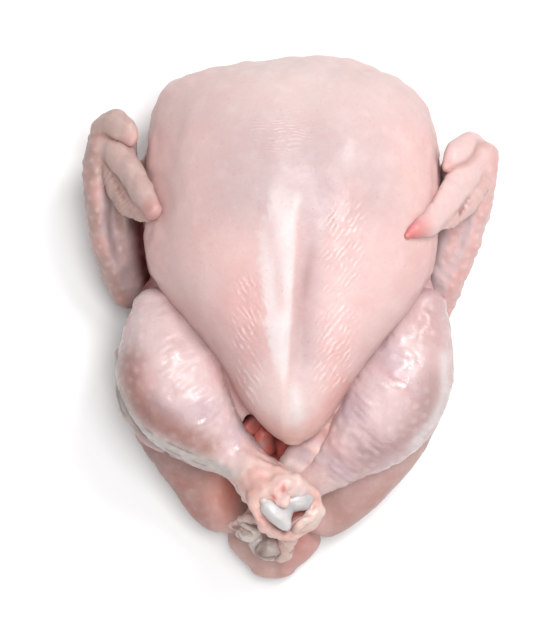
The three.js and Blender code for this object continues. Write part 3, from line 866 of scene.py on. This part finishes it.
left_cut = Cut(LEFT_ANKLE)
left_grid = Grid((-94, -114, 26), (20, 24, 98), LIMB_STEP)
left_own = leg_field(left_grid, LEFT_DRUMSTICK, LEFT_ANKLE, left_cut, LEFT_CUFF,
                     [NOTCH_FLAP, SIDE_FOLD, INNER_LIP], LEFT_BOWL)
for part, radius in ((left_grid.part(INSTEP), 6), (left_grid.part(RAMP), 5),
                     (left_cut.part(left_grid, TOP_PAD), 5), (left_grid.part(FAT_FOLD), 3)):
    left_own = melt(left_own, part, radius)
left_own = nestle(left_own, np.minimum(left_grid.bring(body, whole), left_grid.bring(right_own, right_grid)))
left_leg = wrinkled_leg("left_leg", left_grid.surface(left_own), left_cut, along=(40, -64, 4),
                        seed=41, torn=0.7, torn_from=-5, torn_seed=43)
points, normals = places(left_leg)
plan, z = points[:, :2], points[:, 2]
cut_plan = left_cut.local(points)
a, b, h = cut_plan.T
in_bowl = fade(h, -6, -3) * (1 - fade(np.hypot(a, b), 11, 14)) * (1 - fade(h, -0.5, 1.5))
beside_ridge = groove(plan, [(-14, -93), (-12.9, -97.6), (-8.1, -102.9), (-3.4, -105.9)], 1.4)
raw_bits = [
    (4.9, 15.4, 1.5, 1.2), (-2.4, 12.4, 1.3, 1.6), (-1.2, 15, 1, 1.4), (-4, -8.5, 1.2, 2),
    (9, -6.6, 3, 1.2),
]
bit_depth = fade(h, -4, -1) * (1 - fade(h, 3, 5))
upper_side = fade(z, 36, 42)
shaded = groove(plan, [(-79, -22), (-78, -38), (-69, -49), (-56, -57), (-42, -64)], 8)
fat_band = np.array([
    (-89, -20), (-86.5, -34), (-83.5, -46), (-75.5, -55.5), (-65.5, -62), (-53, -68), (-39.5, -73),
    (-30, -77),
])
fat_lines = sum(groove(plan, fat_band[1:-1] + inward, 0.5) for inward in (-1.2, 1.6))
finish_leg(left_leg, left_cut, [
    # the skin folded back round the cut
    (tint(176, 70, 56), 0.85 * in_bowl),
    (tint(240, 222, 204), 0.8 * spot(cut_plan, 10, -11, 4) * fade(h, 1, 3)),
    (tint(246, 218, 208), 0.7 * spot(cut_plan, 5, -11, 11, 6) * fade(h, 0, 3)),
    (tint(232, 220, 220), 0.8 * spot(cut_plan, 8, 6.5, 6, 3.5) * fade(h, -4, 0)),
    (tint(248, 214, 210), 0.6 * spot(cut_plan, 6, 13, 7, 4) * fade(h, -6, -2)),
    (tint(252, 226, 216), 0.8 * spot(cut_plan, 2, 9, 3, 5) * fade(h, 2, 4)),
    *[(tint(198, 84, 68), 0.85 * spot(cut_plan, *bit) * bit_depth) for bit in raw_bits],
    (tint(146, 66, 54), 0.75 * beside_ridge * fade(z, 60, 64)),
    # the lower edge: shade, then the fold of fat with dark lines along it
    (tint(174, 122, 110), 0.85 * upper_side * shaded),
    (tint(216, 208, 202), 0.9 * upper_side * groove(plan, fat_band, 3.4)),
    (tint(138, 112, 106), 0.6 * upper_side * fat_lines * patches(points, 7, 55, -0.4, 0.6)),
    (tint(222, 204, 200), 0.4 * spot(points, -70, -8, 14, 16)),
], wettest=(-42, -48, 14, 16), seed=51, pimple_seed=6)


# --------------------------------------------
# The knuckles: the end of each shin bone, a spool of two ridges under glossy cartilage. The stations of
# a knuckle run across the cut, those of the left one's larger ridge up it.

LEFT_KNUCKLE = [
    (-5, 4.6, -1, 5, 5.4), (-1, 4, -0.8, 5.2, 5.6), (3, 3, -1.4, 5.2, 5.2), (6.4, 1.2, -1.2, 5.8, 5.6),
    (9.4, -0.4, -1.2, 5.6, 5.6), (12, -1.4, -2.6, 4.2, 4),
]
LEFT_RIDGE = [
    (-5.2, -7.4, -0.5, 1.8, 2), (-5, -5.4, 0.6, 3.2, 4.4), (-4.7, -1.2, 1.2, 4.4, 6.8),
    (-4.6, 3, 1.4, 5.3, 7.8), (-5, 7.5, 1, 5.4, 7.4), (-5.9, 11.5, 0, 4.4, 5.6), (-6.2, 14, -1.4, 2.4, 3),
]
RIGHT_KNUCKLE = [
    (-13, -4, -1, 4, 3), (-11, -3.5, 0.5, 6, 4.6), (-7.5, -4, 0.5, 6.5, 4.4), (-4.5, -5.5, -0.8, 5.5, 3.4),
    (-1, -7, 0.5, 7, 5), (3.5, -7.5, 1, 8, 5.8), (7.5, -7, 0, 6.8, 4.6), (10.5, -6, -1.5, 4, 2.6),
]


def cartilage_material():
    """Cartilage: smooth, bluish white, half see-through and wet."""
    material, add, calculate, place = new_material("cartilage")
    colour = add("ShaderNodeAttribute", attribute_name="tint").outputs["Color"]
    cloud = add("ShaderNodeTexNoise", {"Vector": place, "Scale": 240.0, "Detail": 3.0}).outputs["Fac"]
    bump = add("ShaderNodeBump", {"Height": cloud, "Distance": 0.001, "Strength": 0.25})
    roughness = calculate("MULTIPLY_ADD", cloud, 0.2, 0.3)
    shader = add("ShaderNodeBsdfPrincipled", {
        "Base Color": colour, "Roughness": roughness, "Normal": bump.outputs["Normal"],
        "Subsurface Weight": 0.4, "Subsurface Radius": (0.9, 0.8, 0.8), "Subsurface Scale": 0.003,
        "Coat Weight": 0.35, "Coat Roughness": 0.2,
    })
    add("ShaderNodeOutputMaterial", {"Surface": shader.outputs["BSDF"]})
    return material


cartilage = cartilage_material()


def knuckle(name, cut, stations, ridge, node, colours, crumpled, seed):
    """The end of a shin bone, cleft and torn where it is crumpled. It stands for a CAD node."""
    reach, step = 20, 0.5
    grid = Grid(cut.middle - reach, cut.middle + reach, step)
    own = cut.part(grid, stations, dome=(0.5, 0.5), squareness=1.9)
    if ridge:
        own = melt(own, cut.part(grid, ridge, squareness=1.9), 3)
    piece = new_piece(name, grid.surface(own))
    points, normals = places(piece)
    raise_skin(piece, points, normals, 0.2 * waver(points, 4, seed) + crumple(points, crumpled, 33))
    points, normals = places(piece)
    a, b, h = cut.local(points).T
    clefts = (crumpled > 0) * swell(waver(points, 8, 33), 0.1)
    paint(piece, colours[0], [
        # the second colour: painted shade between the ridges, at the far end, low down and in the clefts
        (colours[1], 0.55 * swell(a - 11, 5) + 0.7 * swell(a - 2, 3) + 0.4 * swell(b + 8, 4) + clefts),
        (tint(232, 190, 180), 0.7 * (1 - fade(h, -1.5, 2.5))),
    ])
    piece.data.materials.append(cartilage)
    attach(piece, "root")
    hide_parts(node)


# The second colour of each is painted shade over the cartilage's grey tone.
LEFT_CARTILAGE = (tint(236, 230, 229), tint(184, 178, 179))  # on the ridges, and between them
RIGHT_CARTILAGE = (tint(244, 228, 220), tint(146, 112, 106))
knuckle("left_knuckle", left_cut, LEFT_KNUCKLE, LEFT_RIDGE, "left_leg_bone", LEFT_CARTILAGE, 0, 61)
knuckle("right_knuckle", right_cut, RIGHT_KNUCKLE, [], "right_leg_bone", RIGHT_CARTILAGE, 1.8, 62)


# --------------------------------------------
# The wings: upper wing, forearm and hand folded in a Z, with a web of skin filling the fold, a row of
# quill sockets along the lower edge of the hand, and the thumb lying on it.

LEFT_WING = {
    "drumette": [
        (-79, 15, 18, 8.5, 10), (-79, 28, 20, 9.5, 11), (-74, 48, 24, 10, 12), (-64, 70, 30, 14, 14),
        (-50, 84, 38, 13, 14),
    ],
    "forearm": [
        (-84.5, 12, 20, 6.5, 9), (-89, 22, 26, 6.5, 12), (-93.7, 38, 34, 6.8, 14), (-96.2, 56, 42, 6.8, 14),
        (-96.2, 72, 48, 7, 12), (-94, 86, 54, 7.5, 9),
    ],
    "web": [
        (-79, 15, 16, 7.5, 9), (-83, 30, 23, 7, 13), (-84.5, 50, 31, 7, 15), (-85, 70, 40, 8, 14),
        (-86, 84, 48, 9, 11),
    ],
    "hand": [
        (-92, 87, 57, 7.5, 6), (-84.5, 79, 64, 7.2, 6.5), (-77, 67.5, 71, 6.8, 6),
        (-70.8, 57.5, 77.5, 6.2, 5.2), (-67.5, 51.5, 81.5, 4.8, 4),
    ],
    "quills": [
        (-92, 76, 57, 4, 3.5), (-88, 65.5, 60.5, 5.5, 3.2), (-82, 56, 66.5, 6, 3),
        (-75, 51.5, 72.5, 5.5, 3), (-70, 49.5, 77, 3.5, 2.8),
    ],
    "pit": [(-88, 69), (-82.6, 58.3)],
    "thumb": [
        (-94.5, 92.5, 57, 5.5, 5), (-88, 94.3, 63, 7.3, 6), (-82, 91, 67.5, 7.2, 5),
        (-78.3, 86.3, 69.5, 4, 2.8),
    ],
    "colours": {"arm": tint(204, 166, 158), "hand": tint(214, 186, 178), "inner side": tint(220, 196, 196)},
    "redness": {"tip": 0.35, "pit": 0.4, "mm from the tip": 9},
}
RIGHT_WING = {
    "drumette": [
        (73.5, 9, 18, 9, 10), (75, 26, 20, 10, 11), (73, 48, 24, 11, 12), (63, 70, 30, 14, 14),
        (49, 84, 38, 13, 14),
    ],
    "forearm": [
        (74, 6, 20, 6, 9), (80.5, 17, 26, 6.2, 12), (87, 32.5, 33, 6.5, 14), (92.3, 50, 41, 6.5, 14),
        (96.2, 67, 48, 6.3, 12), (95, 79, 54, 7.5, 9),
    ],
    "web": [
        (73, 11, 18, 8, 9), (77, 26, 26, 8, 13), (79.5, 44, 34, 8, 15), (82, 60, 42, 9.5, 15),
        (85, 73, 50, 10.5, 12),
    ],
    "hand": [
        (91.5, 79.5, 57, 9.5, 7), (82, 64.4, 68.5, 9.5, 6), (75.5, 55.1, 78, 8, 5.5),
        (68.2, 46.2, 86, 7.3, 5), (62.1, 42.9, 93.3, 5.5, 4.4), (57.6, 40.4, 96.6, 4, 3.4),
        (55.6, 38.9, 97.6, 2.6, 2.4),
    ],
    "quills": [
        (94.5, 68, 58, 4.5, 4), (90, 58.5, 63, 5, 3.5), (83.5, 52, 69.5, 5, 3.2),
        (76.5, 46.5, 78, 4.4, 3), (70, 42.8, 85, 3, 2.5),
    ],
    "pit": [(87.3, 56.8), (85.2, 53.8), (82, 50)],
    "thumb": [
        (90.5, 83.5, 57, 8.5, 6), (84.5, 79.5, 64, 9, 6), (80, 75.5, 68.5, 8, 5),
        (76.5, 72.5, 71, 3.6, 2.6),
    ],
    "colours": {"arm": tint(238, 194, 190), "hand": tint(248, 218, 214), "inner side": tint(246, 228, 232)},
    "redness": {"tip": 0.85, "pit": 0.8, "mm from the tip": 19},
}


def wing_piece(name, wing, outward, grid, leg, leg_grid, seed):
    """A folded wing; `outward` is 1 on the right and -1 on the left."""
    colours, redness = wing["colours"], wing["redness"]
    others = np.minimum(grid.bring(body, whole), grid.bring(leg, leg_grid))
    lean = unit(np.array((outward, 0, 1.0)))
    arm = melt(grid.part(wing["drumette"]), grid.part(wing["web"]), 8)
    arm = melt(arm, grid.part(wing["forearm"]), 6)
    bones, flap, thumb = (grid.part(wing[part], lean=lean) for part in ("hand", "quills", "thumb"))
    hand = melt(bones, flap, 1)
    hand = np.minimum(hand, thumb) + 0.8 * swell(hand - thumb, 1)
    apart = fade(wing["hand"][0][1] - grid.y, 6, 16)  # the hand grows out of the wrist, then lies free
    own = apart * np.minimum(arm, hand) + (1 - apart) * melt(arm, hand, 4)
    piece = new_piece(name, grid.surface(nestle(own, others, depth=1.0)))

    def on_quills(points):
        return fade(grid.at(bones, points), 0.5, 2) * grid.on(flap, points, 0.5, 2)

    points, normals = places(piece)
    x, y, z = points.T
    relief = 0.45 * waver(points, 9, seed) + 0.2 * waver(points, 4, seed + 1)
    quill_spacing = 3.4
    ribs = np.sin(2 * math.pi * (x + outward * y) / quill_spacing + 2.5 * waver(points, 8, seed + 5))
    relief += on_quills(points) * 0.2 * ribs * patches(points, 9, seed + 6, -1, 0.6)
    relief -= 0.9 * groove(points[:, :2], wing["pit"], 1.6) * (z > 55)
    raise_skin(piece, points, normals, relief)

    points, normals = places(piece)
    plan, z = points[:, :2], points[:, 2]
    on_hand = grid.on(hand, points, 0, 3)
    from_bones = grid.at(bones, points)
    seam = swell(grid.at(thumb, points) - from_bones, 1.2)
    seam += 0.7 * swell(grid.at(flap, points) - from_bones, 1.4)
    tip = near(points, wing["hand"][-1][:3], 2, redness["mm from the tip"])
    thumb_tip = grid.on(thumb, points, 0, 2) * near(points, wing["thumb"][-1][:3], 2, 7)
    inner_side = fade(-outward * normals[:, 0], 0, 0.6) * (1 - on_hand)
    open_pit = groove(plan, wing["pit"], 1.2) * (z > 55) * patches(points, 2.2, seed + 7, -0.9, 0.4)
    shade_beside_body = groove(plan, [(-76.5, 46), (-75, 31), (-72, 14)], 4) * (1 - on_hand)
    paint(piece, colours["arm"], [
        (PINK, 0.4 * patches(points, 10, seed + 2, -0.3, 1)),
        (colours["hand"], 0.75 * on_hand),
        # the inner side, facing the body: lilac, and lighter than its tone as painted light in the shade it
        # lies in
        (colours["inner side"], 0.8 * inner_side),
        (TAN, 0.35 * (1 - fade(z, 15, 40)) + 0.35 * on_quills(points)),
        (tint(186, 124, 114), 0.5 * seam * on_hand),
        (PINK, 0.5 * thumb_tip),
        (tint(150, 84, 70), redness["pit"] * open_pit),
        (tint(228, 116, 116), redness["tip"] * tip),
        # painted shade in the gap beside the body
        (tint(124, 34, 32), 0.95 * shade_beside_body),
    ])
    mark(piece, "wet", 0.15 + 0.4 * inner_side * patches(points, 6, seed + 3, -0.4, 0.8))
    follicles = 0.25 + 0.75 * (1 - on_hand) * (1 - inner_side)
    goose_pimples(piece, follicles, spacing=4.6, width=1.6, height=0.5, seed=seed)
    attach(piece, "root")


left_wing_grid = Grid((-112, -6, 0), (-32, 112, 92), LIMB_STEP)
right_wing_grid = Grid((32, -8, 0), (112, 106, 102), LIMB_STEP)
wing_piece("left_wing", LEFT_WING, -1, left_wing_grid, left_own, left_grid, 70)
wing_piece("right_wing", RIGHT_WING, 1, right_wing_grid, right_own, right_grid, 80)


# --------------------------------------------
# The studio: a white table, a large softbox over it, a second one at the upper right, a weak one from
# below, and a camera that looks straight down.

LENS_TO_LEGS = 1.400  # m, from the camera down to the height of 45 mm
VIEW = 0.320  # m, what the camera sees at that height, from top to bottom
SENSOR = 36  # mm

camera_data = bpy.data.cameras.new("camera")
camera_data.sensor_fit = "VERTICAL"
camera_data.sensor_height = SENSOR
camera_data.lens = SENSOR * LENS_TO_LEGS / VIEW
camera = bpy.data.objects.new("camera", camera_data)
camera.location = (-0.00712, -0.0026, LENS_TO_LEGS + 0.045)
bpy.context.collection.objects.link(camera)
bpy.context.scene.camera = camera

bpy.ops.mesh.primitive_plane_add(size=6)
table = bpy.context.object
table.name = "table"
white = bpy.data.materials.new("white table")
white.use_nodes = True
paint_inputs = white.node_tree.nodes["Principled BSDF"].inputs
paint_inputs["Base Color"].default_value = (0.8, 0.8, 0.8, 1)
paint_inputs["Roughness"].default_value = 0.8
table.data.materials.append(white)

world = bpy.data.worlds.new("studio")
bpy.context.scene.world = world
world.use_nodes = True
surroundings = world.node_tree.nodes["Background"].inputs
surroundings["Color"].default_value = (1, 1, 1, 1)
surroundings["Strength"].default_value = 0.5


def softbox(name, place, aim, size, watts):
    light_data = bpy.data.lights.new(name, "AREA")
    light_data.size = size
    light_data.energy = watts
    light = bpy.data.objects.new(name, light_data)
    light.location = place
    heading = np.array(aim) - np.array(place)
    light.rotation_euler = mathutils.Vector(heading).to_track_quat("-Z", "Y").to_euler()
    bpy.context.collection.objects.link(light)


softbox("overhead", (0.17, 0.17, 1.55), (0, 0, 0), size=0.6, watts=15.5)
softbox("key", (0.52, 0.66, 1.18), (0, 0, 0.05), size=0.4, watts=10.5)
softbox("fill", (0.25, -0.85, 1.0), (0, -0.05, 0.05), size=0.5, watts=3.8)

view = bpy.context.scene.view_settings
view.view_transform = "Standard"
view.look = "None"
view.exposure = 0
view.gamma = 1
